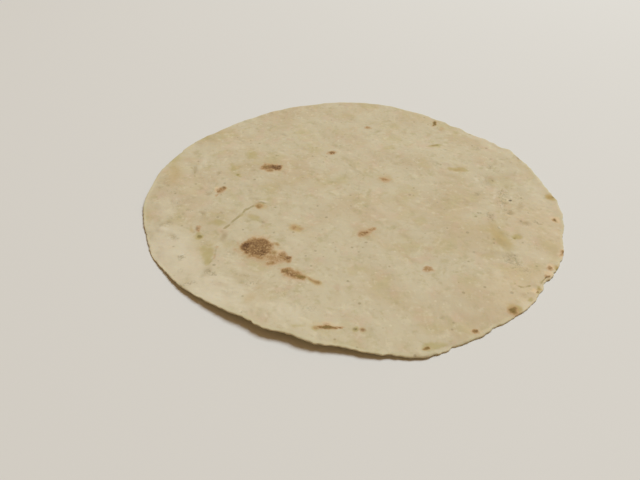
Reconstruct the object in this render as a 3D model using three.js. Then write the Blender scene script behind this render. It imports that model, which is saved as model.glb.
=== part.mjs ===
// A dal puri: one large, thin griddled flatbread, lying slack on a flat surface.
// Millimetres, +Z up. The origin is the middle of the underside, on the surface that the bread rests on.
// The dough was rolled out by hand, so its outline is only nearly round. Most of the underside lies flat.
// The rim leaves the surface in a few slack lifts, and low swells stand up where steam puffed the sheet.
import * as THREE from "three";

// The sheet of dough
const MEAN_RADIUS = 135;
const SHEET_THICKNESS = 1.8;
const EDGE_THICKNESS = 1.2;
const EDGE_TAPER = 16; // the sheet thins over this distance from its edge

// Where rolling pulled the outline out (+) or left it short (-), in millimetres. Each pull is towards a
// direction, in degrees anticlockwise from +X, and fades over its half width in degrees.
const OUTLINE_PULLS = [
  { towards: 180, halfWidth: 58, pull: 3.4 },
  { towards: -118, halfWidth: 40, pull: -1.8 },
  { towards: -78, halfWidth: 24, pull: 6 },
  { towards: -50, halfWidth: 25, pull: 1.2 },
  { towards: -20, halfWidth: 9, pull: -1.5 },
  { towards: 6, halfWidth: 19, pull: -3.9 },
  { towards: 48, halfWidth: 32, pull: -5.6 },
  { towards: 112, halfWidth: 45, pull: 2.2 },
];
// The finer unevenness of a hand-rolled edge: waves round the rim, their height, and where each starts
const EDGE_WAVES = [
  { count: 11, height: 0.4, start: 20 },
  { count: 19, height: 0.35, start: 75 },
  { count: 29, height: 0.2, start: 10 },
];

// The rim's slack lifts: direction, half width in degrees, and height at the edge
const LIFT_START = 0.55; // share of the radius where a lift leaves the surface
const RIM_LIFTS = [
  { towards: -112, halfWidth: 42, height: 4.2 },
  { towards: 84, halfWidth: 46, height: 2.6 },
  { towards: 170, halfWidth: 36, height: 2 },
  { towards: 8, halfWidth: 30, height: 1.2 },
];

// Low swells inside the round: middle, half length along `turn` in degrees, half width, and height
const SWELLS = [
  { x: -64, y: 26, halfLength: 50, halfWidth: 30, turn: 25, height: 1.7 },
  { x: 46, y: 50, halfLength: 44, halfWidth: 27, turn: -30, height: 1.5 },
  { x: 60, y: -42, halfLength: 38, halfWidth: 25, turn: 40, height: 1.2 },
  { x: -38, y: -58, halfLength: 36, halfWidth: 24, turn: -15, height: 1.2 },
];

// The mesh: rings of faces from the middle to the edge, where ring k has 6 k corners, and rows round the edge
const RINGS = 26;
const CORNERS_PER_RING = 6;
const EDGE_ROWS = 4;

const radians = THREE.MathUtils.degToRad;

// 1 at the middle of a bump and 0 from its foot outwards, with no kink at either
function fade(distance) {
  return distance < 1 ? (1 - distance ** 2) ** 2 : 0;
}

// How far apart two directions are, in degrees from 0 to 180
function degreesBetween(a, b) {
  return Math.abs(THREE.MathUtils.euclideanModulo(a - b + 180, 360) - 180);
}

function edgeRadius(direction) {
  let radius = MEAN_RADIUS;
  for (const { towards, halfWidth, pull } of OUTLINE_PULLS)
    radius += pull * fade(degreesBetween(direction, towards) / halfWidth);
  for (const { count, height, start } of EDGE_WAVES)
    radius += height * Math.cos(radians(count * (direction - start)));
  return radius;
}

// Height of the underside above the surface, at a share of the radius towards a direction
function rimLift(share, direction) {
  const rise = Math.max(0, (share - LIFT_START) / (1 - LIFT_START)) ** 2;
  let lift = 0;
  for (const { towards, halfWidth, height } of RIM_LIFTS)
    lift += height * fade(degreesBetween(direction, towards) / halfWidth);
  return lift * rise;
}

function swell(x, y) {
  let height = 0;
  for (const bump of SWELLS) {
    const along = new THREE.Vector2(x - bump.x, y - bump.y);
    along.rotateAround(new THREE.Vector2(), -radians(bump.turn));
    const distance = Math.hypot(along.x / bump.halfLength, along.y / bump.halfWidth);
    height += bump.height * fade(distance);
  }
  return height;
}

function thickness(distanceFromEdge) {
  const inwards = THREE.MathUtils.smoothstep(distanceFromEdge, 0, EDGE_TAPER);
  return THREE.MathUtils.lerp(EDGE_THICKNESS, SHEET_THICKNESS, inwards);
}

// A corner of the mesh, by its reach from the middle towards a direction. level is 0 below and 1 on top.
function corner(reach, direction, radius, level) {
  const x = reach * Math.cos(radians(direction));
  const y = reach * Math.sin(radians(direction));
  const underside = rimLift(reach / radius, direction) + swell(x, y);
  return [x, y, underside + level * thickness(radius - reach)];
}

// The corners of one face of the sheet, ring by ring. They stop short of the edge by the radius of its round.
function faceCorners(level) {
  const corners = [corner(0, 0, MEAN_RADIUS, level)];
  for (let ring = 1; ring <= RINGS; ring++) {
    const count = CORNERS_PER_RING * ring;
    for (let i = 0; i < count; i++) {
      const direction = (360 * i) / count;
      const radius = edgeRadius(direction);
      const flatReach = radius - EDGE_THICKNESS / 2;
      corners.push(corner((flatReach * ring) / RINGS, direction, radius, level));
    }
  }
  return corners;
}

// One row of corners on the half circle that rounds the edge. slope is 90 degrees at the top face, -90 below.
function edgeRow(slope) {
  const count = CORNERS_PER_RING * RINGS;
  const row = [];
  for (let i = 0; i < count; i++) {
    const direction = (360 * i) / count;
    const radius = edgeRadius(direction);
    const inset = (EDGE_THICKNESS / 2) * (1 - Math.cos(radians(slope)));
    row.push(corner(radius - inset, direction, radius, (1 + Math.sin(radians(slope))) / 2));
  }
  return row;
}

function ringStart(ring) {
  return ring === 0 ? 0 : 1 + (CORNERS_PER_RING * ring * (ring - 1)) / 2;
}

// The triangles of one face, as corner numbers, anticlockwise seen from above
function faceTriangles() {
  const triangles = [];
  for (let ring = 1; ring <= RINGS; ring++) {
    const outer = (i) => ringStart(ring) + (i % (CORNERS_PER_RING * ring));
    const inner = (i) => ringStart(ring - 1) + (ring === 1 ? 0 : i % (CORNERS_PER_RING * (ring - 1)));
    for (let sector = 0; sector < CORNERS_PER_RING; sector++)
      for (let step = 0; step < ring; step++) {
        const o = sector * ring + step;
        const i = sector * (ring - 1) + step;
        triangles.push([outer(o), outer(o + 1), inner(i)]);
        if (step < ring - 1) triangles.push([outer(o + 1), inner(i + 1), inner(i)]);
      }
  }
  return triangles;
}

function flatbreadGeometry() {
  const rimCount = CORNERS_PER_RING * RINGS;
  const top = faceCorners(1);
  const bottom = faceCorners(0);
  const corners = [...top, ...bottom];
  const triangles = [];
  for (const [a, b, c] of faceTriangles()) {
    triangles.push([a, b, c]);
    triangles.push([top.length + a, top.length + c, top.length + b]);
  }

  // The edge: bands of faces from the top face's last ring, by rows on the half circle, to the underside's
  let above = ringStart(RINGS);
  for (let row = 1; row <= EDGE_ROWS; row++) {
    const below = row < EDGE_ROWS ? corners.length : top.length + ringStart(RINGS);
    if (row < EDGE_ROWS) corners.push(...edgeRow(90 - (180 * row) / EDGE_ROWS));
    for (let i = 0; i < rimCount; i++) {
      const next = (i + 1) % rimCount;
      triangles.push([below + i, below + next, above + next], [below + i, above + next, above + i]);
    }
    above = below;
  }

  const geometry = new THREE.BufferGeometry();
  geometry.setAttribute("position", new THREE.Float32BufferAttribute(corners.flat(), 3));
  geometry.setIndex(triangles.flat());
  geometry.computeVertexNormals();
  return geometry;
}

// Wheat dough baked on a griddle: pale cream buff, dry and matt
function griddledDough() {
  return new THREE.MeshStandardMaterial({ color: "#c3b390", roughness: 0.85, metalness: 0 });
}

const dalPuri = new THREE.Group();
const bread = new THREE.Mesh(flatbreadGeometry(), griddledDough());
bread.name = "dal_puri";
dalPuri.add(bread);

export default dalPuri;
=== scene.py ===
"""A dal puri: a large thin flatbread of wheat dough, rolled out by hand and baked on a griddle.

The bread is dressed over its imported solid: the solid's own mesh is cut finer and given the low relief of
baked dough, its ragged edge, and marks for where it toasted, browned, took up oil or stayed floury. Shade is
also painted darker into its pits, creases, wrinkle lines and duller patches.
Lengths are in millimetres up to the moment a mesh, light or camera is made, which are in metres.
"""

import math
from collections import namedtuple

import bmesh
import bpy
import numpy as np
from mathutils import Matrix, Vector
from mathutils.kdtree import KDTree


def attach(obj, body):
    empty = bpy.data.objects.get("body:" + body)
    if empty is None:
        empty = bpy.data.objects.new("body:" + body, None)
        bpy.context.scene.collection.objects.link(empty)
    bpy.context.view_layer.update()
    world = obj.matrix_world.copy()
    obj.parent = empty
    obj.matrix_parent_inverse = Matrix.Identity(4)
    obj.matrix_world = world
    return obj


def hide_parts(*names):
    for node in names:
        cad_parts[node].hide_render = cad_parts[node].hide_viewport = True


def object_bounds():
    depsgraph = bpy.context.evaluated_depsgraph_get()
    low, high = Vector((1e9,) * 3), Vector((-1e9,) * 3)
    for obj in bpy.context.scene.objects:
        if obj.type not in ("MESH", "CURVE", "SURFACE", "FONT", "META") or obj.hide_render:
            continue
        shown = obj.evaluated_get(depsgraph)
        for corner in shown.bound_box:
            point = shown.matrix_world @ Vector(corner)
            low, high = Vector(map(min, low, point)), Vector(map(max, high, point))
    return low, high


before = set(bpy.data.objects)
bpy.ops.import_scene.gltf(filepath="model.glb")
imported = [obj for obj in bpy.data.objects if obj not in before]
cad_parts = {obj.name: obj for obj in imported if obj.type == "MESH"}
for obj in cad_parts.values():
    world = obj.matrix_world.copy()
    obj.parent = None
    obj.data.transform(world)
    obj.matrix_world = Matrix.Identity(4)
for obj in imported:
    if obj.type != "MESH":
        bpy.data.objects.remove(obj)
solid_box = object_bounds()

MM = 0.001  # one millimetre, in metres

# How finely the solid's faces are cut: cuts in each edge of the upper face and the rim, and of the underside
TOP_CUTS = 5
UNDERSIDE_CUTS = 2
WELD = 0.001  # corners of the solid's mesh that are nearer each other than this are one
SHEET_NORMAL = 0.96  # a face of the sheet, not of its rounded rim, is nearer level than this
RIM_FACE_HEIGHT = 1.5  # edges of the rim's narrow faces are shorter than this
RIM_LEVEL = 0.2  # a corner is on the rim where its normal rises or falls by less than this
REACH = 140  # strewn marks lie no further than this from the middle along x or y

PROUD = 0.14  # the relief stands no further than this above the solid's highest point
CAP_EASE = 0.3  # it eases off over this height
RELIEF_START = 1.5  # it grows to its full height over this distance from the rim
CRINKLE_DEPTH = 0.14
CRINKLE_WIDTH = 0.6  # a crinkle runs where the waves that lay it out are lower than this, up or down
PIT_DEPTH = 0.5  # of a pit of strength 1
BLISTER_HEIGHT = 0.2  # of dough that is toasted all through
UNDERSIDE_DROP = 0.03  # the underside's wrinkles are lowered by this, so that more of it lies flat
RING_WIDTH = 0.35  # half the width of a sunken bubble's ring, as a share of its radius
WAVER_REACH = 14  # the rim's own ups and downs fade over this distance from it
PULL_REACH = 5  # its nicks and tabs fade over this one
MOST_FRAYED = -45  # the direction in which the rim is raggedest, in degrees anticlockwise from +X
FRAY_SWING = 0.5  # it is raggeder there, and less ragged across from there, by this share

MARK_FRINGE = 1.5  # a mark's faint fringe reaches this many times as far as its outline
SCORCH_FIRMNESS = 1.55
TOAST_FIRMNESS = 1.15
BLUSH_FIRMNESS = 1.3
SPECK_FIRMNESS = 1.2
CREASE_TINT = 5  # how much painted shade a crease has for each millimetre of its depth
RIM_TINT_REACH = 3.5
UNDERSIDE_GOLD = 0.35  # how golden the whole underside is

# Smooth random waves: their height, the shortest and longest wavelength, and their seed
WAVE_COUNT = 56  # each spread is made of this many
Waves = namedtuple("Waves", "height shortest longest seed")
SLACK = Waves(0.22, 24, 60, 1)  # the slack waves of the whole sheet
RIPPLES = Waves(0.08, 9, 20, 2)
VALLEYS = Waves(0.06, 5, 10, 3)  # the face sinks by these, both where they rise and where they fall
COARSE_GRAIN = Waves(0.015, 2.5, 4, 4)
CRINKLE_LINES = Waves(1, 3.4, 6, 14)  # a crinkle runs where these pass through 0
UNDERSIDE_WRINKLES = Waves(0.06, 5, 16, 7)
FINE_FRAY = Waves(0.11, 2.6, 7, 9)
COARSE_FRAY = Waves(0.06, 8, 20, 10)
RIM_WAVER = Waves(0.12, 11, 34, 11)
FINE_WANDER = Waves(0.3, 6, 14, 31)  # these two move the outlines of small marks and of broad ones
SOFT_WANDER = Waves(0.8, 14, 34, 33)
RAGGED_FRINGE = Waves(0.07, 2.4, 6, 35)
CREASE_BREAKS = Waves(0.5, 3, 7, 37)

# Marks strewn at random: how many, the limits of their length, of their width as a share of it, and of their
# strength, and their seed
Scatter = namedtuple("Scatter", "count lengths slimness strengths seed")
SMALL_LUMPS = Scatter(420, (4, 12), (0.6, 1), (0.12, 0.45), 5)
FOLDS = Scatter(220, (4, 11), (0.2, 0.35), (-0.4, 0.25), 6)
PITS = Scatter(120, (2.2, 5), (0.45, 1), (0.3, 1), 8)
UNDERSIDE_PITS = Scatter(500, (2, 4.6), (0.6, 1), (0.05, 0.2), 9)
GRIDDLE_SPOTS = Scatter(90, (3, 14), (0.5, 1), (0.35, 0.95), 12)
STRAY_CRINKLES = Scatter(70, (5, 16), (0.4, 1), (0.1, 0.4), 13)

# A mark on the bread's surface: its middle, its length along a turn in degrees, its width, and its strength,
# which is full at 1
Mark = namedtuple("Mark", "x y length width turn strength")

# Blisters that stood hard against the griddle, browned to a crisp edge: tan at 0.4, brown at 0.7, and nearly
# black at 1
SCORCHED = [
    # The large blotch: its body, its darkest end, and the rest of its outline
    Mark(-60.2, -60.2, 18.4, 14.8, -16, 0.76),
    Mark(-60, -57, 16, 12.4, -10, 0.63),
    Mark(-57.4, -64.4, 11.4, 5.4, -12, 0.9),
    Mark(-56.6, -54.6, 8, 3.4, -14, 0.78),
    Mark(-66.8, -58.4, 5.8, 9, 8, 1.05),
    Mark(-65.4, -62.8, 4.8, 3.4, -20, 0.9),
    Mark(-53.2, -58.4, 3.8, 7, 0, 0.62),
    Mark(-59, -67.2, 12, 4.4, -12, 0.46),
    # The reddish spot beside it
    Mark(-44, -67.8, 8, 3.8, -30, 0.56),
    Mark(-41.2, -69.4, 4, 3.4, -30, 0.8),
    # The slanting spot in front
    Mark(-42, -80.2, 6, 4.4, -32, 0.78),
    Mark(-37.8, -82.6, 13.6, 7.6, -32, 0.58),
    Mark(-37.6, -84.2, 8, 2.6, -36, 0.8),
    Mark(-33.6, -85.2, 5, 4.6, -20, 0.7),
    # Two spots behind
    Mark(-58.4, 28.4, 13.4, 7, 0, 0.72),
    Mark(-54.8, 28.2, 7.4, 7.6, -8, 0.98),
    Mark(-52.2, 28.6, 4.2, 6, 0, 1.1),
    Mark(-52.4, 25.6, 2.4, 2.4, 0, 0.7),
    Mark(-89.7, 0.8, 4.4, 6.8, -8, 0.52),
    Mark(-88.6, 2, 3.6, 5, 0, 0.62),
    Mark(-90.6, -1.4, 3.4, 2.4, 0, 0.66),
    # Spots near the front of the rim
    Mark(-20.6, -122.9, 2.4, 1.5, 10, 1.1),
    Mark(-18.8, -122.4, 2.4, 1.7, -10, 1.2),
    Mark(-17.8, -122.6, 13, 1.6, 1, 0.85),
    Mark(-1.8, -123.6, 3.4, 2, 0, 0.5),
    Mark(28, -134.6, 3.8, 1.6, 10, 0.84),
    Mark(54.5, -123.3, 2.7, 3.9, -45, 0.8),
    # Dots along the right of the rim, where the edge touched the griddle
    Mark(76.3, -109.2, 2.7, 3.8, -14, 0.9),
    Mark(77.8, -107.3, 3, 1.7, 10, 0.54),
    Mark(76.8, -108.8, 3.6, 4.2, -20, 0.6),
    Mark(94.7, -96.1, 2, 1.1, 40, 0.45),
    Mark(100, -87.6, 3, 1.6, 24, 0.42),
    Mark(102.9, -85.7, 2, 3, -25, 0.84),
    Mark(104.8, -84.9, 1.6, 2.4, -20, 0.56),
    Mark(106.7, -76.9, 3, 3.8, -20, 0.6),
    Mark(118.5, -61.6, 1.5, 3.1, -18, 0.66),
    Mark(125.2, -32, 1.9, 3.2, -14, 0.64),
    # A long dark spot at the back
    Mark(71.4, 98.8, 9.6, 2.2, 70, 1),
    # Three of the light ones in the middle
    Mark(4, -46, 6, 3.6, 30, 0.66),
    Mark(-14, 52, 5, 4, 15, 0.72),
    Mark(22, 14, 5, 3.4, -20, 0.5),
]
# Softer browning round them and by itself
TOASTED = [
    Mark(-60.4, -60.4, 24.6, 21.4, -10, 0.34),
    Mark(-56, -69.6, 14, 4.4, -10, 0.22),
    Mark(-47.9, -57.8, 3.4, 3.2, 0, 0.34),
    Mark(-49.6, -64.8, 4, 4.2, 0, 0.36),
    Mark(-44.6, -65.8, 6.6, 3.4, -20, 0.34),
    Mark(-40.4, -72, 3, 4, 0, 0.54),
    Mark(-48.6, -69.4, 16, 8, -6, 0.4),
    Mark(-50.4, -73.2, 7.4, 5, 10, 0.52),
    Mark(-38, -82.6, 17, 8, -32, 0.34),
    Mark(-27.8, -86.9, 8, 2.6, -38, 0.36),
    Mark(-24.6, -89.4, 6.4, 3.8, -34, 0.4),
    Mark(-62.2, 32.4, 3.8, 4.8, 6, 0.5),
    Mark(-58.6, 23.8, 5, 3.6, 0, 0.6),
    Mark(-63.4, 26.4, 5.4, 4.2, 0, 0.52),
    Mark(-58, 28.2, 16, 10, 0, 0.42),
    Mark(-90, 0, 5.8, 8, -6, 0.46),
    Mark(-91.9, -5, 2.4, 4.4, 8, 0.34),
    Mark(-62.6, -17, 5.4, 5.6, 0, 0.51),
    Mark(-38.8, -41, 4.6, 8, 0, 0.38),
    Mark(-35, -42, 5, 4.6, 0, 0.24),
    Mark(-97.5, -41.6, 8.6, 3, -74, 0.42),
    Mark(-98.8, -39.4, 3, 4, 0, 0.3),
    Mark(-83.9, -59, 2.4, 4, 0, 0.28),
    Mark(-83.5, -68, 2.2, 6, 0, 0.26),
    Mark(-88, -57, 5, 2, 0, 0.16),
    Mark(-18.8, -122.7, 14, 2.3, 1, 0.66),
    Mark(-24.8, -123.2, 3.4, 2, 0, 0.34),
    Mark(-19.4, -120.6, 3, 1.7, 0, 0.3),
    Mark(54, -123.6, 4.6, 4.2, 0, 0.3),
    Mark(76.4, -109.4, 6, 6.8, -20, 0.38),
    Mark(103.4, -84.8, 4.4, 4.6, 40, 0.36),
    Mark(106.4, -77.6, 4.2, 5.2, -20, 0.36),
    Mark(117, -64.4, 1.9, 4, -24, 0.38),
    Mark(125, -32.2, 3.6, 5, 0, 0.32),
    Mark(124.2, -32.2, 2.4, 3.4, 0, 0.4),
    Mark(64.4, 61.8, 6, 2.4, 22, 0.26),
    Mark(75.4, 90, 4, 9, -10, 0.24),
    Mark(76, 27, 9, 3.4, -6, 0.2),
    Mark(4, -46, 10, 6.4, 30, 0.4),
    Mark(9, -42.4, 6, 4.6, 0, 0.5),
    Mark(22, 14, 9, 6, -20, 0.4),
    Mark(-14, 52, 8, 6, 15, 0.4),
    Mark(38, -78, 6, 4.4, 0, 0.54),
    Mark(16, 92, 6, 4.4, 10, 0.46),
]
# Dough baked through to a tan or yellow brown
GOLDEN = [
    Mark(-59, -60, 29, 23, -14, 0.35),
    Mark(-52, -69.5, 18, 11, -10, 0.45),
    Mark(-46, -69, 17, 13, -25, 0.35),
    Mark(-38, -82.6, 22, 12, -32, 0.45),
    Mark(-25.5, -89, 12, 7, -38, 0.6),
    Mark(-57.5, 28.6, 18, 13, 0, 0.5),
    Mark(-62, -17, 10, 9, 0, 0.9),
    Mark(-38, -41.6, 10, 12, 0, 0.8),
    Mark(-102, -41, 10, 2.6, -64, 0.6),
    Mark(-81.6, 29, 6, 9, 0, 0.45),
    Mark(-20, -122.6, 19, 5, 2, 0.4),
    Mark(-60, -103, 9, 9, 0, 0.5),
    Mark(-126, 22, 15, 36, 5, 0.6),
    Mark(-126, 60, 14, 26, -15, 0.35),
    Mark(129.8, -8.8, 7, 8, 8, 1),
    Mark(85, -48, 11, 34, 8, 0.6),
    Mark(96.4, -48.8, 7, 5, -4, 0.4),
    Mark(124, 30, 10, 26, 10, 0.3),
    Mark(86, -88, 74, 54, 34, 0.17),
    Mark(110, -10, 44, 60, 0, 0.14),
    Mark(95, -22, 22, 34, 0, 0.24),
    Mark(80, -50, 30, 50, 0, 0.28),
    Mark(77, 28, 17, 10, -5, 0.4),
    Mark(104, 71, 8, 20, 30, 0.3),
    Mark(78, -108, 8, 8, 0, 0.9),
    Mark(4, -45, 17, 12, 20, 0.4),
    Mark(22, 14, 17, 13, -20, 0.55),
    Mark(95.6, -93.4, 4, 5, 0, 0.8),
    Mark(110.8, -76.4, 4, 5, 20, 0.7),
    Mark(-96.2, -50.8, 4, 4, 0, 0.35),
]
# A pale orange blush round the spots that scorched fastest
BLUSHED = [
    Mark(-92.9, 1, 3.6, 7.4, 0, 0.85),
    Mark(-46.6, -64, 6, 4, 0, 0.7),
    Mark(125.8, -31.8, 7.4, 6.8, 0, 0.85),
    Mark(118, -64, 6, 11, -18, 0.7),
    Mark(107.8, -75.8, 6, 5.6, 0, 0.85),
    Mark(104.8, -82, 7, 6, 40, 0.8),
    Mark(92.8, -94.8, 4, 5, 40, 1.2),
    Mark(54.4, -123.8, 8, 7, 0, 0.4),
    Mark(-59, -49.6, 14, 5, -8, 0.4),
    Mark(-20, -120.8, 18, 4, 4, 0.4),
    Mark(96, -27.6, 4.4, 3, -30, 0.5),
    Mark(110, -44, 46, 84, 8, 0.28),
    Mark(88, -92, 60, 44, 34, 0.36),
]
# Thin places, where the dough is a yellow olive
OILY = [
    # A stain that narrows to a point
    Mark(-88, -64.4, 7.6, 17, 3, 0.74),
    Mark(-91, -61, 9, 8, 0, 0.62),
    Mark(-86.9, -71.4, 4.8, 9, 4, 0.85),
    Mark(-94, -60, 6, 6, 0, 0.35),
    # An olive dot and its yellow tail
    Mark(-96.1, -48.5, 5.2, 4.6, -20, 1.3),
    Mark(-97, -45.8, 3, 4, 0, 0.75),
    Mark(-96.2, -50.8, 4, 3, 0, 0.7),
    Mark(-86.6, -34.6, 11, 8, -20, 0.6),
    Mark(-73.6, -27, 2.4, 5, -35, 0.6),
    Mark(-64.2, -29.6, 13, 6, -38, 0.6),
    Mark(-80.8, 19.4, 3.2, 3, -20, 1.15),
    Mark(-78.8, 18.1, 3.6, 2, -28, 0.8),
    Mark(-84.8, 27.4, 4.4, 12, 6, 0.72),
    Mark(-86.6, 33, 4, 7, 10, 0.5),
    Mark(-84, 27, 13, 20, 5, 0.35),
    Mark(-73.4, 47.6, 10, 18, 6, 0.62),
    Mark(-113.6, 75, 9, 14, 0, 0.5),
    Mark(-104, 84, 12, 8, 0, 0.35),
    Mark(-130.4, 42, 9, 24, 0, 0.5),
    # Places that toasted an olive or golden brown
    Mark(-47.9, -57.6, 3.2, 3.2, 0, 1),
    Mark(-49.6, -64.8, 4, 4.4, 0, 1),
    Mark(-50.6, -73.4, 6, 4, 0, 0.5),
    Mark(-28, -87.4, 9, 3, -38, 0.95),
    Mark(-24.4, -89.6, 6, 4, -30, 1),
    Mark(-33.4, -84.6, 7, 5, -28, 1),
    Mark(-42, -80, 5, 4, 0, 0.5),
    Mark(-61.6, 29.4, 7, 6, 0, 0.6),
    Mark(-62.6, -17, 6, 6, 0, 0.75),
    Mark(-38, -41.4, 8, 8, 0, 0.75),
    Mark(-88.4, 3.4, 4, 4.4, 0, 0.4),
    Mark(-19.6, -122.8, 11, 2.8, 0, 0.7),
    Mark(-5.6, -123, 3.6, 3, 0, 1),
    Mark(-1.6, -123.6, 4, 3.4, 0, 0.5),
    Mark(-25, -123.2, 4, 3, 0, 0.9),
    Mark(-34, -122.6, 9, 2.6, 0, 0.5),
    Mark(76.8, -108.8, 5.6, 6.4, 0, 1),
    Mark(79.8, -107.4, 4.4, 4.6, 20, 0.85),
    Mark(71.4, 98.8, 11, 3.4, 70, 1),
    Mark(28, -134.6, 5, 3, 10, 1),
    Mark(100.2, -87.6, 4.8, 3, 24, 1.3),
    Mark(102.4, -85.4, 3, 3, 0, 1),
    Mark(95, -96.2, 3.2, 1.8, 40, 1.2),
    Mark(110.8, -76.6, 3.2, 4.6, 20, 1.2),
    Mark(88, -101.2, 3.4, 2.4, 30, 0.85),
    Mark(129.8, -8.6, 5.6, 6, 8, 1.1),
    Mark(125.2, -32, 3, 4, 0, 0.8),
    Mark(95.8, -93.4, 3, 4, 0, 0.96),
    Mark(96.3, -48.8, 6.8, 4.6, -4, 0.86),
    Mark(94.4, -49.8, 2.4, 2, 0, 1.1),
    Mark(86.4, -51, 13, 28, 10, 0.5),
    Mark(88, -57, 7, 10, 20, 0.35),
    Mark(80, -60, 9, 12, 0, 0.25),
    Mark(113, -63, 8, 24, -20, 0.26),
    Mark(99, -76, 16, 9, 60, 0.24),
    Mark(88, -41, 9, 8, 0, 0.22),
    Mark(65.4, 62, 11.4, 4.2, 20, 1.05),
    Mark(66.4, 60.6, 8, 6, 10, 0.5),
    Mark(76, 27.4, 16, 5.8, -6, 0.86),
    Mark(32.6, -132.6, 13, 5.4, 8, 0.8),
    Mark(86, 84, 7, 7, -40, 0.5),
    Mark(54.6, -123.5, 3.4, 4, -45, 0.5),
    Mark(105, 12, 16, 26, 10, 0.3),
    Mark(97, 12, 7, 12, -10, 0.4),
    Mark(-8, 14, 18, 12, 40, 0.4),
    Mark(30, 58, 12, 9, 0, 0.4),
    Mark(40, -34, 14, 9, 60, 0.4),
]
# Patches of a duller, greyer tan, laid mostly over the relief's hollows and wrinkled patches: painted shade
SHADE_PATCHES = [
    Mark(-81, -48.5, 5, 10, -8, 0.9),
    Mark(-82.6, -44, 3, 5, 0, 0.6),
    Mark(-86.4, -34.6, 11, 9, -20, 0.5),
    Mark(-85.2, -80.6, 7, 12, 0, 0.6),
    Mark(-119, -36, 13, 5.6, 8, 0.6),
    Mark(-112, -49, 12, 5, -38, 0.55),
    Mark(-126, -47, 6, 14, 10, 0.4),
    Mark(-97.4, -24.4, 6, 4, -30, 0.75),
    Mark(-108, -21.4, 4, 3.4, 0, 0.7),
    Mark(-86.6, -25.4, 3.4, 3, 0, 0.7),
    Mark(-58.4, -34, 4, 3.4, -40, 0.7),
    Mark(-102, -70, 3, 3, 0, 0.3),
    Mark(-100, -60, 13, 12, 0, 0.25),
    Mark(-35, -42, 4.6, 4.6, 0, 0.9),
    Mark(-66, -84, 22, 3, -14, 0.35),
    Mark(-112.6, 26.6, 3.6, 15, 8, 0.6),
    Mark(-116.4, 50, 4, 12, 12, 0.45),
    Mark(-94.6, 21.4, 3, 5, 0, 0.75),
    Mark(-91, 14, 3, 4, 0, 0.5),
    Mark(-97.6, -4, 4, 4, 0, 0.75),
    Mark(-66, -8.6, 9, 4, 0, 0.5),
    Mark(-76, -92, 14, 5, -20, 0.45),
    Mark(95.4, 13.6, 7, 13, -10, 0.75),
    Mark(103.4, 24, 5, 8, 0, 0.4),
    Mark(102.4, -2, 4, 3, 0, 0.7),
    Mark(105, -35.6, 9, 5, -12, 0.8),
    Mark(99.4, -24.6, 6.4, 6, -30, 0.85),
    Mark(106.8, -19, 5, 13, -26, 0.75),
    Mark(112, 20, 18, 7, 10, 0.4),
    Mark(82, -4, 3.4, 6, -40, 0.7),
    Mark(100.4, 31, 4, 8, -20, 0.6),
    Mark(85.4, -29, 5, 10, 0, 0.6),
    Mark(80, -40, 12, 13, 0, 0.25),
    Mark(-70, -100, 9, 7, 0, 0.25),
    Mark(-110, -60, 8, 7, 0, 0.25),
    Mark(97.4, -11.6, 1.8, 3.4, -20, 0.6),
    Mark(94.6, -31.8, 2, 4.4, -10, 0.7),
    Mark(94, -36.4, 3, 4, 0, 0.6),
    Mark(109, -5, 1.6, 4.4, -14, 0.5),
    Mark(112, -10, 2.8, 2, 20, 0.5),
    Mark(105, 34.8, 3, 6.4, -25, 0.5),
    Mark(89, -66, 1.8, 3.4, -14, 0.65),
    Mark(82.8, -67, 1.8, 3, -24, 0.6),
    Mark(86.6, -73, 3.2, 2, 0, 0.55),
    Mark(118.6, -53, 1.6, 2.2, -20, 0.7),
    Mark(84, -81, 9, 5, 60, 0.35),
    Mark(72, -84, 5, 12, -10, 0.4),
    Mark(94, -86, 12, 5, 50, 0.3),
    Mark(78.6, -50, 1.8, 4, -10, 0.8),
    Mark(115, -52.4, 3.6, 2.4, 0, 0.95),
    Mark(115, -36.8, 3.2, 2, 0, 0.8),
    Mark(-98.8, -41, 2.2, 6, -6, 0.6),
    Mark(87, -68, 7, 12, 0, 0.5),
    Mark(93, -79, 4, 2.4, 0, 0.6),
    Mark(76, 88, 6, 10, -10, 0.5),
    Mark(97, 58, 3, 4, -20, 0.5),
    Mark(100, 70, 6, 8, 20, 0.45),
    Mark(82, 47, 3, 9, -14, 0.4),
    Mark(20, 40, 30, 8, 20, 0.3),
    Mark(-20, 80, 16, 7, -10, 0.3),
]
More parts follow.
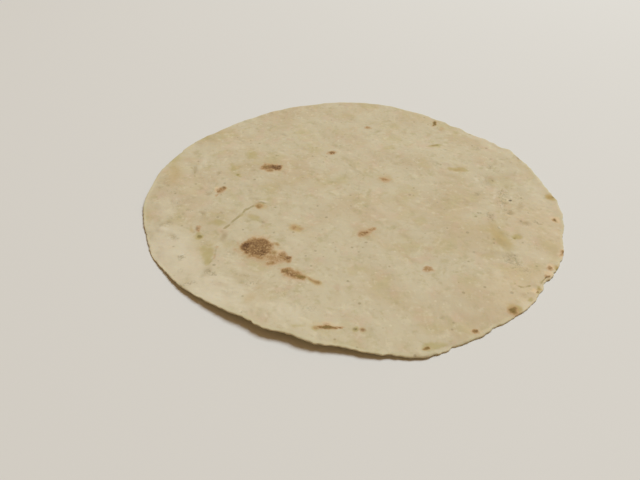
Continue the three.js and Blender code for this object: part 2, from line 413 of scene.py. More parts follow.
# Where dry flour still dusts the dough
FLOURY = [
    Mark(-108, -66, 38, 68, 32, 0.85),
    Mark(-119, -42, 10, 6, -14, 1),
    Mark(-96, -82, 20, 22, 0, 0.5),
    Mark(-78, -96, 56, 24, -32, 0.85),
    Mark(-122, -18, 20, 34, 0, 0.5),
    Mark(-104, -22, 26, 20, 10, 0.4),
    Mark(122, -12, 20, 64, 4, 0.5),
    Mark(127, -20, 12, 44, 6, 0.5),
    Mark(-40, -112, 46, 20, -16, 0.5),
    Mark(-36, -60, 18, 28, 20, 0.35),
    Mark(-108, 38, 8, 24, 8, 0.6),
    Mark(-94, 14, 56, 34, 0, 0.3),
    Mark(-92, 62, 28, 32, 0, 0.35),
    Mark(-61, -11.4, 8, 3, -10, 0.7),
    Mark(-70, -78, 16, 8, -20, 0.4),
    Mark(104, -68, 18, 12, 20, 0.4),
    Mark(88, -88, 20, 10, 20, 0.35),
    Mark(84, 6, 12, 22, 0, 0.4),
    Mark(105, 70, 46, 11, 123, 0.7),
    Mark(84, -105.6, 9, 7, 30, 0.7),
    Mark(20, 60, 60, 50, 10, 0.3),
    Mark(20, -20, 46, 32, -20, 0.3),
    Mark(-110, 4, 13, 22, 0, 0.35),
    Mark(-80, -90, 16, 12, 0, 0.4),
    Mark(-60, -81, 13, 9, 0, 0.3),
    Mark(-60, -90, 10, 8, 0, 0.45),
    Mark(80, 9, 9, 8, 0, 0.4),
    Mark(88, 14, 4, 9, -10, 0.7),
    Mark(94, -7, 2.2, 7, -20, 0.8),
    Mark(96, -17, 2, 9, -20, 0.8),
    Mark(92.6, -24, 2, 7, -16, 0.7),
    Mark(104, -8, 2.4, 5, -20, 0.8),
    Mark(117, -4, 4, 12, -10, 0.5),
    Mark(112, 7, 3, 11, -16, 0.4),
    Mark(83, -60, 3, 9, -14, 0.6),
    Mark(100, -57, 14, 9, 20, 0.4),
    Mark(76, -82, 8, 11, -20, 0.45),
    Mark(92, -64, 5, 8, -14, 0.4),
]
# Where the skin dried into fine wrinkles, whose lines the material paints darker as shade
CRINKLED = [
    Mark(-116, -14, 15, 14, 30, 0.6),
    Mark(-107, -22, 6, 6, 0, 0.8),
    Mark(-97, -24, 10, 8, -30, 0.8),
    Mark(-92, -16, 7, 10, 20, 0.5),
    Mark(-86.5, -25, 6, 5, 0, 0.8),
    Mark(-114, -29, 11, 8, 20, 0.65),
    Mark(-119, -38, 14, 7, 8, 0.8),
    Mark(-112, -50, 14, 8, -38, 0.7),
    Mark(-102, -69, 6, 9, 0, 0.9),
    Mark(-101, -80, 8, 7, 0, 0.5),
    Mark(-84, -82, 8, 9, 40, 1),
    Mark(-92, -56, 8, 8, 0, 0.6),
    Mark(-76, -66, 12, 8, 30, 0.5),
    Mark(-60, -90, 14, 8, 0, 0.7),
    Mark(-44, -98, 14, 10, 0, 0.6),
    Mark(-30, -110, 14, 8, 0, 0.6),
    Mark(-93, -91, 11, 4, 10, 0.9),
    Mark(-80, -91, 12, 6, 10, 0.6),
    Mark(-66, -84, 18, 6, -14, 0.6),
    Mark(-70, -97, 16, 8, -10, 0.5),
    Mark(-59, -34, 6, 5, -45, 0.9),
    Mark(-51, -17, 7, 6, 0, 0.7),
    Mark(-98, -3, 6, 7, 0, 0.9),
    Mark(-122, -2, 12, 8, 0, 0.6),
    Mark(-112, 24, 6, 20, 8, 0.6),
    Mark(-94, 20, 6, 9, 0, 0.7),
    Mark(-108, 40, 7, 18, 8, 0.4),
    Mark(85, -29, 7, 16, -12, 0.9),
    Mark(83, -3, 6, 8, -30, 0.8),
    Mark(100, -3, 9, 14, -30, 0.9),
    Mark(98, -24, 9, 12, -30, 0.9),
    Mark(99.6, 31, 6, 12, -20, 0.8),
    Mark(95, 15, 9, 9, 0, 0.6),
    Mark(114, -35, 8, 6, -30, 0.9),
    Mark(115, -53, 6, 4, 0, 0.6),
    Mark(87, -72, 14, 20, 0, 0.8),
    Mark(85, -57, 8, 10, 0, 0.5),
    Mark(93, -80, 6, 5, 0, 0.7),
    Mark(104, -37, 10, 6, -12, 0.6),
    Mark(98, 58, 6, 8, -20, 0.6),
    Mark(106, -14, 20, 30, -20, 0.5),
    Mark(97, -12, 9, 20, -20, 0.85),
    Mark(90, -80, 20, 16, 20, 0.55),
    Mark(92, 14, 14, 20, 0, 0.5),
    Mark(104, -56, 16, 16, 0, 0.45),
]
# Bran and soot: dark specks
SPECKED = [
    Mark(102.8, -11.2, 3.2, 2, 46, 1),
    Mark(99, -2.6, 1.6, 2.4, 0, 0.5),
    Mark(97.4, 13, 1.8, 2.6, 20, 0.6),
    Mark(81.6, -51.5, 1.7, 1.9, 0, 0.5),
    Mark(87.6, -40, 1.8, 3, 20, 0.5),
    Mark(90, -66, 1.8, 1.6, 0, 0.6),
    Mark(85.6, -70, 2, 1.4, 0, 0.5),
    Mark(113, -35.4, 1.4, 4, -14, 0.36),
    Mark(125.3, -32, 1.2, 2.8, 20, 0.6),
    Mark(118.7, -61.8, 1.2, 2.8, -24, 0.42),
    Mark(-126.6, -63, 1.6, 1.6, 0, 0.6),
    Mark(71, 99.6, 2.6, 6, -20, 0.42),
    Mark(54.8, -123.2, 1.8, 3, -45, 0.35),
    Mark(-82.2, -84.2, 1.8, 1.4, 30, 0.5),
    Mark(-115, -37, 1.6, 1.4, 0, 0.4),
    Mark(-93, -47, 1.4, 1.6, 0, 0.3),
    Mark(-52.4, 29.2, 2.8, 3.2, 0, 0.36),
    Mark(-34.8, -42.2, 3.4, 3.4, 0, 0.3),
    Mark(-5.6, -123.3, 3.2, 2.6, 0, 0.5),
    Mark(-19.4, -120.6, 2.6, 1.4, 0, 0.3),
    Mark(-1.8, -123.6, 4.2, 2.6, 0, 0.45),
    Mark(102.9, -85.6, 2, 3, -25, 1),
    Mark(104.8, -84.9, 1.5, 2.4, -20, 0.5),
    Mark(100.4, -87.4, 2.4, 1.5, 24, 0.5),
    Mark(94.8, -96, 2, 1.2, 40, 0.5),
    Mark(-95.8, -48.5, 3.4, 2.6, -24, 0.4),
    Mark(-98.9, -40.8, 5.4, 2.2, -80, 0.42),
    Mark(-88.6, 3.4, 3.4, 2.8, 30, 0.42),
    Mark(-99.9, -44.4, 2, 1.8, 0, 0.4),
]

# Lumps that stand up in the dough, and hollows where the strength is negative, in millimetres
LUMPS = [
    Mark(-119.6, -42, 10, 6.4, -14, 0.45),
    Mark(-119, -35.6, 12, 5, 8, -0.3),
    Mark(-112, -49, 11, 5, -38, -0.25),
    Mark(-81, -48.5, 5, 10, -8, -0.25),
    Mark(-82.4, -84.4, 6, 4, 30, -0.3),
    Mark(-103, -69, 4, 4, 0, 0.35),
    Mark(-70, -78, 9, 5, -20, 0.3),
    Mark(-72, -86, 16, 3.6, -14, -0.25),
    Mark(-61, -11.6, 9, 3.6, -12, 0.3),
    Mark(-112, 26, 4, 12, 15, -0.3),
    Mark(-107, 34, 4, 14, 12, 0.3),
    Mark(97, 13, 8, 12, -10, -0.3),
    Mark(100.6, 30, 4, 9, -20, -0.25),
    Mark(104, -16, 14, 5, 60, 0.25),
    Mark(98, -26, 7, 6, 0, -0.3),
    Mark(103, -31, 6, 4, 0, 0.3),
    Mark(84, -68, 6, 9, 0, -0.3),
    Mark(90, -78, 12, 5, 20, 0.3),
]

# Folds that were rolled flat left fine creases: the places each passes, half width and depth
CREASES = [
    ([(-82.2, -40.6), (-78.5, -35), (-76.2, -31), (-73.1, -25), (-70.7, -20.6), (-66.5, -16.6)], 1.2, 0.26),
    ([(-66, -14.6), (-61.6, -12.6), (-56, -15.4), (-52, -19)], 1.2, 0.14),
    ([(-70, -33.6), (-63, -31.4), (-58.4, -36)], 1.1, 0.08),
    ([(-84, -60), (-83.6, -68), (-86, -75)], 1.1, 0.1),
    ([(83.4, -88), (82.6, -91), (86, -92.4), (91, -91)], 1.1, 0.12),
    ([(101.6, 3), (99.6, -0.6), (98, -4.4)], 1, 0.1),
    ([(96.8, -6), (95.4, -12), (94.4, -17)], 1, 0.06),
    ([(-116, 30), (-112, 24), (-110.6, 16)], 1.2, 0.07),
]

# Bubbles that steam raised and that sank again, leaving a low ring: middle, radius, height
SUNKEN_BUBBLES = [
    (-39.8, -110, 5, 0.24),
    (-57, -14.5, 6.5, 0.12),
    (84, -91, 6, 0.1),
    (-108, -88, 4, 0.14),
    (-70, -92, 6, 0.1),
    (112, 40, 5, 0.12),
    (10, 30, 7, 0.14),
]

# Nicks in the rim, and tabs where the depth is negative: direction in degrees anticlockwise from +X, half
# width and depth
RIM_NICKS = [
    (-5.5, 9, -0.8),
    (-14, 6, 0.9),
    (-21, 8, 0.3),
    (-29.6, 14, -1.2),
    (-31.6, 3, 0.4),
    (-36.6, 3, 1.3),
    (-38.8, 6, 1.2),
    (-41.2, 5, 2.4),
    (-42, 14, 1),
    (-43.2, 3, 0.7),
    (-45.4, 5, 0.5),
    (-46.6, 3, 0.4),
    (-51.4, 3, 0.4),
    (-52, 12, -0.6),
    (-57.5, 8, -0.3),
    (-62, 4.6, 1.1),
    (-64.8, 4, 0.3),
    (-67.6, 6, 0.6),
    (-72.6, 14, 1.3),
    (-72.9, 3, 0.5),
    (-77, 6, 0.8),
    (-86, 3, 0.6),
    (-101, 16, -1.7),
    (-117, 12, 1.3),
    (6, 9, -0.9),
    (14, 4, 0.5),
    (19.4, 13, 2.8),
    (28, 8, 2.2),
    (32.2, 6, 1.5),
    (37.8, 11, 1.7),
    (41.8, 6, 1.5),
    (48.8, 7, 1.9),
    (55.4, 7, 1.3),
    (62, 14, -0.6),
    (158, 3, 0.6),
]


# Shape


def waves(places, spread):
    """Smooth random ups and downs, mostly within twice the height of their spread."""
    rng = np.random.default_rng(spread.seed)
    direction = rng.uniform(0, math.tau, WAVE_COUNT)
    length = np.exp(rng.uniform(math.log(spread.shortest), math.log(spread.longest), WAVE_COUNT))
    start = rng.uniform(0, math.tau, WAVE_COUNT)
    height = np.zeros(len(places))
    for towards, number, phase in zip(direction, math.tau / length, start):
        along = places[:, 0] * math.cos(towards) + places[:, 1] * math.sin(towards)
        height += np.cos(along * number + phase)
    return spread.height * (height / math.sqrt(WAVE_COUNT / 2))


def fade(distance):
    """1 at the middle of a bump and 0 from its foot outwards, with no kink at either."""
    return (1 - np.minimum(distance, 1) ** 2) ** 2


def finer_solid(node):
    """The solid's own mesh with its faces cut finer, in metres as the solid is."""
    mesh = bmesh.new()
    mesh.from_mesh(node.data)
    bmesh.ops.remove_doubles(mesh, verts=mesh.verts, dist=WELD * MM)
    for underside, cuts in ((False, TOP_CUTS), (True, UNDERSIDE_CUTS)):
        mesh.normal_update()
        faces = [face for face in mesh.faces if (face.normal.z < -SHEET_NORMAL) == underside]
        edges = {edge for face in faces for edge in face.edges if edge.calc_length() > RIM_FACE_HEIGHT * MM}
        bmesh.ops.subdivide_edges(mesh, edges=list(edges), cuts=cuts, use_grid_fill=True)
    bmesh.ops.triangulate(mesh, faces=mesh.faces)
    mesh.normal_update()
    return mesh


def distance_from_rim(places, rim):
    """How far each place is from the nearest corner of the rim, seen from above."""
    tree = KDTree(len(rim))
    for i, (x, y) in enumerate(rim):
        tree.insert((x, y, 0), i)
    tree.balance()
    return np.array([tree.find((x, y, 0))[2] for x, y in places])


def mark_distance(mark, places):
    """How far each place is from the middle of a mark, where 1 is on its outline."""
    turn = math.radians(mark.turn)
    off = places - (mark.x, mark.y)
    along = off[:, 0] * math.cos(turn) + off[:, 1] * math.sin(turn)
    across = off[:, 1] * math.cos(turn) - off[:, 0] * math.sin(turn)
    return np.hypot(along / (mark.length / 2), across / (mark.width / 2))


def near(mark, places, spread):
    """Which places can lie inside a mark's outline when that is this many times larger."""
    reach = spread * max(mark.length, mark.width) / 2
    some = np.nonzero(np.abs(places[:, 0] - mark.x) < reach)[0]
    return some[np.abs(places[some, 1] - mark.y) < reach]


def mark_cover(marks, places, firmness=1, ragged=None):
    """How strongly a set of marks covers each place, from 0 to the strength of the strongest.

    A mark fades all the way out from its middle at firmness 1, and keeps its strength nearly to its
    outline at more. A ragged value at each place frays the fringe."""
    cover = np.zeros(len(places))
    for mark in marks:
        some = near(mark, places, MARK_FRINGE)
        inside = fade(mark_distance(mark, places[some]) / MARK_FRINGE)
        if ragged is not None:
            inside = np.where(inside > 0, inside + ragged[some], 0)
        inside = np.clip(firmness * inside, 0, 1)
        cover[some] = np.maximum(cover[some], mark.strength * inside)
    return cover


def wandering(places, spread):
    """The places moved about a little, so that what is laid out on them has uneven outlines."""
    sideways = spread._replace(seed=spread.seed + 1)
    return places + np.column_stack([waves(places, spread), waves(places, sideways)])


def strewn(scatter):
    """Marks at random places over the whole bread, turned any way."""
    rng = np.random.default_rng(scatter.seed)
    marks = []
    for _ in range(scatter.count):
        x, y = rng.uniform(-REACH, REACH, 2)
        length = rng.uniform(*scatter.lengths)
        width = length * rng.uniform(*scatter.slimness)
        marks.append(Mark(x, y, length, width, rng.uniform(0, 180), rng.uniform(*scatter.strengths)))
    return marks


def swollen(marks, places):
    """Relief of a set of marks: each swells up by its strength in millimetres, or sinks by a negative one."""
    relief = np.zeros(len(places))
    for mark in marks:
        some = near(mark, places, 1)
        relief[some] += mark.strength * fade(mark_distance(mark, places[some]))
    return relief


def distance_from_line(line, places):
    """How far each place is from the nearest point of a line of straight stretches."""
    nearest = np.full(len(places), np.inf)
    for start, end in zip(np.array(line[:-1]), np.array(line[1:])):
        run = end - start
        share = np.clip((places - start) @ run / (run @ run), 0, 1)
        off = places - (start + share[:, None] * run)
        nearest = np.minimum(nearest, np.hypot(off[:, 0], off[:, 1]))
    return nearest


def creased(places):
    """Relief of the creases, which only sink."""
    relief = np.zeros(len(places))
    for line, half_width, depth in CREASES:
        relief -= depth * fade(distance_from_line(line, places) / half_width)
    return relief


def sunken_rings(places):
    """Relief of the low rings that sunken bubbles left."""
    relief = np.zeros(len(places))
    for x, y, radius, height in SUNKEN_BUBBLES:
        distance = np.hypot(places[:, 0] - x, places[:, 1] - y)
        relief += height * fade(np.abs(distance - radius) / (RING_WIDTH * radius))
    return relief


def toasting(places, ragged=None):
    """How far the griddle browned each place of the upper face, from 0 to about 1."""
    scorched = mark_cover(SCORCHED, places, SCORCH_FIRMNESS, ragged)
    return np.maximum(scorched, mark_cover(TOASTED, places, TOAST_FIRMNESS, ragged))


def crinkling(places):
    """How strongly each place of the upper face is wrinkled: in the patches above and in some at random."""
    return mark_cover(CRINKLED + strewn(STRAY_CRINKLES), places)


def upper_relief(places):
    """Height of the upper face's low relief: slack waves, lumps, wrinkles, pits and toasted places."""
    relief = waves(places, SLACK)
    relief += waves(places, RIPPLES)
    relief -= np.abs(waves(places, VALLEYS))
    relief += waves(places, COARSE_GRAIN)
    wrinkles = fade(np.abs(waves(places, CRINKLE_LINES)) / CRINKLE_WIDTH)
    relief -= CRINKLE_DEPTH * crinkling(places) * wrinkles
    relief += swollen(strewn(SMALL_LUMPS), places)
    relief += swollen(strewn(FOLDS), places)
    relief -= PIT_DEPTH * swollen(strewn(PITS), places)
    relief += BLISTER_HEIGHT * toasting(places)
    return relief + swollen(LUMPS, places) + creased(places) + sunken_rings(places)


def under_relief(places):
    """The underside lay on the griddle, so it is flatter: wrinkles and pits that sink into the bread."""
    relief = waves(places, UNDERSIDE_WRINKLES) - UNDERSIDE_DROP
    return relief + swollen(strewn(UNDERSIDE_PITS), places)


def rim_pull(places, distance):
    """How far the ragged rim stands out from the solid's even one, in millimetres.

    It frays most at the right of its front and least across from there."""
    direction = np.degrees(np.arctan2(places[:, 1], places[:, 0]))
    frayed = 1 + FRAY_SWING * np.cos(np.radians(direction - MOST_FRAYED))
    pull = frayed * (waves(places, FINE_FRAY) + waves(places, COARSE_FRAY))
    arc = math.radians(1) * np.hypot(places[:, 0], places[:, 1])
    for towards, half_width, depth in RIM_NICKS:
        pull -= depth * fade(np.abs(direction - towards) * arc / half_width)
    return pull * fade(distance / PULL_REACH)


def below_cap(heights):
    """Heights eased off so that none stands prouder of the solid's box than it may."""
    start = solid_box[1][2] / MM + PROUD - CAP_EASE
    over = np.maximum(heights - start, 0)
    return np.where(over > 0, start + CAP_EASE * (1 - np.exp(-over / CAP_EASE)), heights)


def paint_marks(data, places, level, distance):
    """Keeps the bread's marks as attributes of its mesh, for the dough's material to read by name."""
    top = (level > -RIM_LEVEL).astype(float)
    fine = wandering(places, FINE_WANDER)
    soft = wandering(places, SOFT_WANDER)
    ragged = waves(places, RAGGED_FRINGE)
    griddled = mark_cover(strewn(GRIDDLE_SPOTS), fine, TOAST_FIRMNESS, ragged)
    # Shade painted along the creases, darker where they are deeper
    crease_tint = -CREASE_TINT * creased(places) * (1 + waves(places, CREASE_BREAKS))
    painted = {
        "toasted": np.where(top, toasting(fine, ragged), griddled),
        "golden": np.where(top, mark_cover(GOLDEN, soft), UNDERSIDE_GOLD),
        "blushed": top * mark_cover(BLUSHED, fine, BLUSH_FIRMNESS),
        "oily": top * mark_cover(OILY, fine, TOAST_FIRMNESS, ragged),
        # Painted shade: the duller, greyer tan patches over hollows and wrinkles
        "patch_shade": top * mark_cover(SHADE_PATCHES, fine),
        "floury": top * mark_cover(FLOURY, soft),
        "specked": top * mark_cover(SPECKED, places, SPECK_FIRMNESS),
        # Painted shade in the pits, darkening them
        "pit_shade": top * mark_cover(strewn(PITS), places),
        "creased": top * np.clip(crease_tint, 0, 1),
        # Where the skin wrinkled: the material paints shade along its wrinkle lines
        "crinkled": top * crinkling(fine),
        "rim": fade(distance / RIM_TINT_REACH),
    }
    for name, values in painted.items():
        attribute = data.attributes.new(name, "FLOAT", "POINT")
        attribute.data.foreach_set("value", values.astype(np.float32))


def baked_bread():
    """The dressed bread: a finer copy of its solid with the relief of baked dough, and its marks."""
    mesh = finer_solid(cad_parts["dal_puri"])
    corners = np.array([corner.co for corner in mesh.verts]) / MM
    level = np.array([corner.normal.z for corner in mesh.verts])
    places = corners[:, :2].copy()
    distance = distance_from_rim(places, places[np.abs(level) < RIM_LEVEL])

    upper = np.clip(level, 0, 1) * np.clip(distance / RELIEF_START, 0, 1)
    under = np.clip(-level, 0, 1) * np.clip(distance / RELIEF_START, 0, 1)
    corners[:, 2] += upper * upper_relief(places) + under * under_relief(places)
    corners[:, 2] += waves(places, RIM_WAVER) * fade(distance / WAVER_REACH)
    outward = places / np.maximum(np.hypot(places[:, 0], places[:, 1]), 1)[:, None]
    corners[:, :2] += outward * rim_pull(places, distance)[:, None]
    corners[:, 2] = np.maximum(below_cap(corners[:, 2]), 0)
    for corner, place in zip(mesh.verts, corners):
        corner.co = place * MM

    data = bpy.data.meshes.new("dal_puri_baked")
    mesh.to_mesh(data)
    mesh.free()
    data.shade_smooth()
    paint_marks(data, places, level, distance)
    bread = bpy.data.objects.new("dal_puri_baked", data)
    bpy.context.scene.collection.objects.link(bread)
    return bread


# Materials


def linear(colour):
    """An sRGB hex colour as linear red, green, blue and alpha."""
    channels = [int(colour[i : i + 2], 16) / 255 for i in (1, 3, 5)]
    return [c / 12.92 if c <= 0.04045 else ((c + 0.055) / 1.055) ** 2.4 for c in channels] + [1]


def scale_for(size):
    """The scale that gives a texture on object coordinates cells of this size in millimetres."""
    return 1 / (size * MM)


def add_node(tree, kind, inputs=None, **settings):
    """Adds a node, sets its options, and fills its inputs with values or links from other nodes' outputs."""
    node = tree.nodes.new(kind)
    for name, value in settings.items():
        setattr(node, name, value)
    for name, value in (inputs or {}).items():
        if isinstance(value, bpy.types.NodeSocket):
            tree.links.new(value, node.inputs[name])
        else:
            node.inputs[name].default_value = value
    return node


def lay_tint(tree, onto, tint, pattern, start, full, strength):
    """Lays a tint onto a colour: none at a pattern's start, and all of its strength where it is full."""
    limits = {"Value": pattern, "From Min": start, "From Max": full, "To Max": strength}
    share = add_node(tree, "ShaderNodeMapRange", limits, interpolation_type="SMOOTHSTEP").outputs["Result"]
    inputs = {"Factor": share, 6: onto, 7: linear(tint)}
    return add_node(tree, "ShaderNodeMix", inputs, data_type="RGBA").outputs[2]


# The dough's own cream, and its mottling: each tint is laid onto those before it, with its colour, the size
# of its patches in millimetres, where their noise starts to show and where it is full, and its strength
CREAM = "#c9bc9b"
MOTTLES = [
    ("#c2ae8a", 46, 0.42, 0.66, 0.8),
    ("#c0b286", 23, 0.5, 0.68, 0.7),
    ("#ccb295", 11, 0.5, 0.7, 0.45),
    ("#b5a97e", 6.5, 0.54, 0.74, 0.6),
    ("#d3c7a6", 5.2, 0.54, 0.72, 0.55),
    ("#b3a47b", 3.4, 0.54, 0.74, 0.42),
    ("#d6caab", 2.6, 0.56, 0.74, 0.18),
    ("#a8986e", 1.9, 0.58, 0.76, 0.14),
]
# Tints that follow what is painted on the bread, stains and painted shade: colour, what it follows, and the
# same three values
STAINS_AND_SHADE = [
    ("#cfc6a0", "rim", 0.2, 1, 0.55),
    ("#dacfb3", "floury", 0, 1, 0.75),
    # painted shade in the duller, greyer patches
    ("#ad9a75", "patch_shade", 0, 1, 0.75),
    ("#dfc399", "blushed", 0, 1, 0.75),
    ("#b1a268", "oily", 0, 0.8, 0.7),
    ("#8c7d45", "oily", 0.8, 1, 0.7),
    ("#b99a5e", "golden", 0, 1, 0.7),
    # painted shade in the pits
    ("#a3966f", "pit_shade", 0.2, 1, 0.35),
    # painted shade along the creases
    ("#958550", "creased", 0.1, 0.8, 0.6),
]
# How dough browns as it toasts: colour, how far toasted it starts to show and where it is full, and strength
BROWNING = [
    ("#bf9d75", 0.04, 0.26, 0.65),
    ("#a88656", 0.2, 0.44, 0.9),
    ("#886740", 0.42, 0.7, 0.95),
    ("#654627", 0.74, 0.96, 0.95),
]
# All that is painted on the bread
PAINTED = [
    "rim",
    "floury",
    "patch_shade",
    "blushed",
    "oily",
    "golden",
    "pit_shade",
    "creased",
    "crinkled",
    "toasted",
    "specked",
]

# Sizes of the finer patterns, in millimetres. Real pores are finer, and are drawn as coarse as they need to
# be to show
GLOSS_PATCHES = 5
CRINKLES = 3
FLAKES = 2.6  # the same noise as one of the mottles
CRACKLE = 1.7
GRAIN = 1.3
PORES = 0.55
SPECK_SPACING = 4.2
CRINKLE_LINE = 0.045  # how far from its noise's middle value a crinkle reaches


def crinkle_lines(tree, noise, painted):
    """Fine wrinkles, along the line where a noise passes through its middle value."""
    inputs = {0: noise[CRINKLES], 1: 0.5}
    off = add_node(tree, "ShaderNodeMath", inputs, operation="SUBTRACT").outputs["Value"]
    off = add_node(tree, "ShaderNodeMath", {0: off}, operation="ABSOLUTE").outputs["Value"]
    limits = {"Value": off, "From Min": CRINKLE_LINE, "From Max": 0, "To Max": 1}
    line = add_node(tree, "ShaderNodeMapRange", limits, interpolation_type="SMOOTHSTEP").outputs["Result"]
    inputs = {0: line, 1: painted["crinkled"]}
    return add_node(tree, "ShaderNodeMath", inputs, operation="MULTIPLY").outputs["Value"]


def broken_skin(tree, place, noise, toasted):
    """Toasting as a share that pale crackle and flakes of unbrowned dough break up."""
    cells = add_node(
        tree,
        "ShaderNodeTexVoronoi",
        {"Vector": place, "Scale": scale_for(CRACKLE), "Randomness": 1.0},
        feature="DISTANCE_TO_EDGE",
    )
    breaks = [
        (cells.outputs["Distance"], 0.02, 0.18, 0.78, 1),
        (noise[GRAIN], 0.48, 0.66, 1.08, 0.56),
        (noise[FLAKES], 0.34, 0.66, 0.92, 1.07),
    ]
    for pattern, low, high, least, most in breaks:
        limits = {"Value": pattern, "From Min": low, "From Max": high, "To Min": least, "To Max": most}
        skin = add_node(tree, "ShaderNodeMapRange", limits, interpolation_type="SMOOTHSTEP").outputs["Result"]
        inputs = {0: toasted, 1: skin}
        toasted = add_node(tree, "ShaderNodeMath", inputs, operation="MULTIPLY").outputs["Value"]
    return toasted


def lay_specks(tree, onto, place):
    """Lays flour dust and bran onto a colour: specks under a millimetre wide, one in several cells."""
    inputs = {"Vector": place, "Scale": scale_for(SPECK_SPACING), "Randomness": 1.0}
    cells = add_node(tree, "ShaderNodeTexVoronoi", inputs)
    chosen = add_node(tree, "ShaderNodeSeparateColor", {"Color": cells.outputs["Color"]})
    for tint, channel, strength in (("#e0d5b8", "Red", 0.4), ("#7d6c46", "Green", 0.42)):
        inputs = {0: chosen.outputs[channel], 1: cells.outputs["Distance"]}
        speck = add_node(tree, "ShaderNodeMath", inputs, operation="SUBTRACT").outputs["Value"]
        onto = lay_tint(tree, onto, tint, speck, 0.7, 0.84, strength)
    return onto


def dough_bumps(tree, noise, crinkles):
    """The normal of the dough's fine bumps: its grain, its pores, and crinkles that sink into it."""
    normal = None
    for height, distance, strength, sunk in (
        (noise[GRAIN], 0.2, 0.38, False),
        (noise[PORES], 0.1, 0.28, False),
        (crinkles, 0.2, 0.6, True),
    ):
        inputs = {"Height": height, "Distance": distance * MM, "Strength": strength}
        if normal is not None:
            inputs["Normal"] = normal
        normal = add_node(tree, "ShaderNodeBump", inputs, invert=sunk).outputs["Normal"]
    return normal


def griddled_wheat_dough():
    """Wheat dough baked on a dry griddle: a matt cream sheet, mottled tan and olive where it is thin, with
    scorched blisters that pale specks break up, flour dust, and a grain of fine bumps. Shade is painted
    darker into its pits, creases, wrinkle lines and duller patches."""
    material = bpy.data.materials.new("griddled_wheat_dough")
    material.use_nodes = True
    tree = material.node_tree
    tree.nodes.clear()
    place = add_node(tree, "ShaderNodeTexCoord").outputs["Object"]
    painted = {}
    for name in PAINTED:
        painted[name] = add_node(tree, "ShaderNodeAttribute", attribute_name=name).outputs["Fac"]
    noise = {}
    for size in [mottle[1] for mottle in MOTTLES] + [GLOSS_PATCHES, CRINKLES, GRAIN, PORES]:
        inputs = {"Vector": place, "Scale": scale_for(size), "Detail": 3.0, "Roughness": 0.55}
        noise[size] = add_node(tree, "ShaderNodeTexNoise", inputs).outputs["Fac"]

    # The dough's own colour: cream, drifting to pinkish tan and yellow olive over hand and finger widths
    colour = linear(CREAM)
    for tint, size, *extent in MOTTLES:
        colour = lay_tint(tree, colour, tint, noise[size], *extent)
    # Tints after what is painted on the bread: stains, and painted shade in the pits, creases and duller
    # patches
    for tint, name, *extent in STAINS_AND_SHADE:
        colour = lay_tint(tree, colour, tint, painted[name], *extent)
    crinkles = crinkle_lines(tree, noise, painted)
    # Shade painted along the wrinkle lines; the bump below sinks them too
    colour = lay_tint(tree, colour, "#8f8462", crinkles, 0.12, 0.9, 0.6)

    # Toasting browns the blisters' skin, to an olive brown where the dough is thin
    skin = broken_skin(tree, place, noise, painted["toasted"])
    for tint, *extent in BROWNING:
        colour = lay_tint(tree, colour, tint, skin, *extent)
    inputs = {0: painted["toasted"], 1: painted["oily"]}
    olive_toast = add_node(tree, "ShaderNodeMath", inputs, operation="MULTIPLY").outputs["Value"]
    colour = lay_tint(tree, colour, "#88723a", olive_toast, 0.05, 0.7, 0.7)
    colour = lay_tint(tree, colour, "#574a33", painted["specked"], 0.1, 0.9, 0.85)
    colour = lay_specks(tree, colour, place)

    limits = {"Value": noise[GLOSS_PATCHES], "From Min": 0.3, "From Max": 0.7, "To Min": 0.72, "To Max": 0.86}
    roughness = add_node(tree, "ShaderNodeMapRange", limits).outputs["Result"]
    shader = add_node(
        tree,
        "ShaderNodeBsdfPrincipled",
        {
            "Base Color": colour,
            "Roughness": roughness,
            "IOR": 1.45,
            "Specular IOR Level": 0.35,
            "Subsurface Weight": 0.12,
            "Subsurface Radius": (1.0, 0.65, 0.35),
            "Subsurface Scale": 1.2 * MM,
            "Normal": dough_bumps(tree, noise, crinkles),
        },
    )
    add_node(tree, "ShaderNodeOutputMaterial", {"Surface": shader.outputs["BSDF"]})
    return material


def matt_white_board():
    """A plain painted board: warm white and matt."""
    material = bpy.data.materials.new("matt_white_board")
    material.use_nodes = True
    tree = material.node_tree
    tree.nodes.clear()
    inputs = {"Base Color": linear("#dcd9d1"), "Roughness": 0.9, "Specular IOR Level": 0.2}
    shader = add_node(tree, "ShaderNodeBsdfPrincipled", inputs)
    add_node(tree, "ShaderNodeOutputMaterial", {"Surface": shader.outputs["BSDF"]})
    return material


# Setting

FLOOR_HALF_WIDTH = 3.0  # in metres
FLOOR_DROP = 0.05  # the floor lies this far under the bread, so that the two faces don't fight

# The softbox: where it hangs and how wide it is, in metres, its power in watts and its colour
SOFTBOX_PLACE = (1.75, 1.47, 4.2)
SOFTBOX_WIDTH = 2.1
SOFTBOX_POWER = 220.3
SOFTBOX_COLOUR = "#e4f2ff"
# The fill from all round, and the wall that shows beyond the floor
FILL_COLOUR = "#ffd39a"
FILL_STRENGTH = 0.3155
WALL_COLOUR = "#d6d2ca"

# The camera looks down on the bread from its front, a little left of its middle
CAMERA_AIM = (-22.9, -50.1, 0)
CAMERA_DISTANCE = 314.6
CAMERA_ELEVATION = 39.3
CAMERA_LENS = 29.25


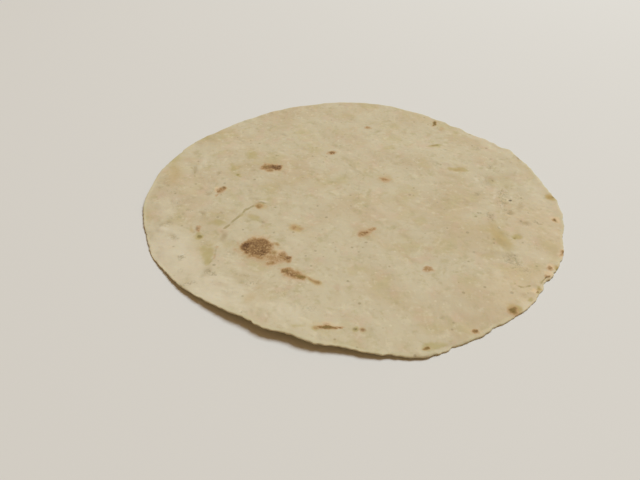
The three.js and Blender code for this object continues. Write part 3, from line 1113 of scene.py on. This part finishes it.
def lay_floor():
    """A square of board that the bread lies on."""
    half = FLOOR_HALF_WIDTH
    below = -FLOOR_DROP * MM
    data = bpy.data.meshes.new("floor")
    corners = [(-half, -half, below), (half, -half, below), (half, half, below), (-half, half, below)]
    data.from_pydata(corners, [], [(0, 1, 2, 3)])
    data.materials.append(matt_white_board())
    floor = bpy.data.objects.new("floor", data)
    bpy.context.scene.collection.objects.link(floor)


def hang_softbox():
    """A square soft light that is turned towards the bread."""
    lamp = bpy.data.lights.new("softbox", "AREA")
    lamp.size = SOFTBOX_WIDTH
    lamp.energy = SOFTBOX_POWER
    lamp.color = linear(SOFTBOX_COLOUR)[:3]
    light = bpy.data.objects.new("softbox", lamp)
    light.location = SOFTBOX_PLACE
    light.rotation_euler = (-Vector(SOFTBOX_PLACE)).to_track_quat("-Z", "Y").to_euler()
    bpy.context.scene.collection.objects.link(light)


def light_from_all_round():
    """A warm fill from all round; only the camera sees a plain pale wall in its place."""
    world = bpy.data.worlds.new("studio")
    world.use_nodes = True
    tree = world.node_tree
    tree.nodes.clear()
    seen = add_node(tree, "ShaderNodeLightPath").outputs["Is Camera Ray"]
    fill = add_node(tree, "ShaderNodeBackground", {"Color": linear(FILL_COLOUR), "Strength": FILL_STRENGTH})
    wall = add_node(tree, "ShaderNodeBackground", {"Color": linear(WALL_COLOUR), "Strength": 1.0})
    inputs = {0: seen, 1: fill.outputs["Background"], 2: wall.outputs["Background"]}
    both = add_node(tree, "ShaderNodeMixShader", inputs).outputs["Shader"]
    add_node(tree, "ShaderNodeOutputWorld", {"Surface": both})
    bpy.context.scene.world = world
    bpy.context.scene.view_settings.view_transform = "Standard"


def aim_camera():
    """Sets up the camera, in front of its aim and above it."""
    camera = bpy.data.cameras.new("camera")
    camera.lens = CAMERA_LENS
    camera.clip_start = 1 * MM
    holder = bpy.data.objects.new("camera", camera)
    rise = math.radians(CAMERA_ELEVATION)
    back = Vector((0, -math.cos(rise), math.sin(rise)))
    holder.location = (Vector(CAMERA_AIM) + back * CAMERA_DISTANCE) * MM
    holder.rotation_euler = (math.pi / 2 - rise, 0, 0)
    bpy.context.scene.collection.objects.link(holder)
    bpy.context.scene.camera = holder


bread = baked_bread()
bread.data.materials.append(griddled_wheat_dough())
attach(bread, "root")
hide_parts("dal_puri")

lay_floor()
hang_softbox()
light_from_all_round()
aim_camera()
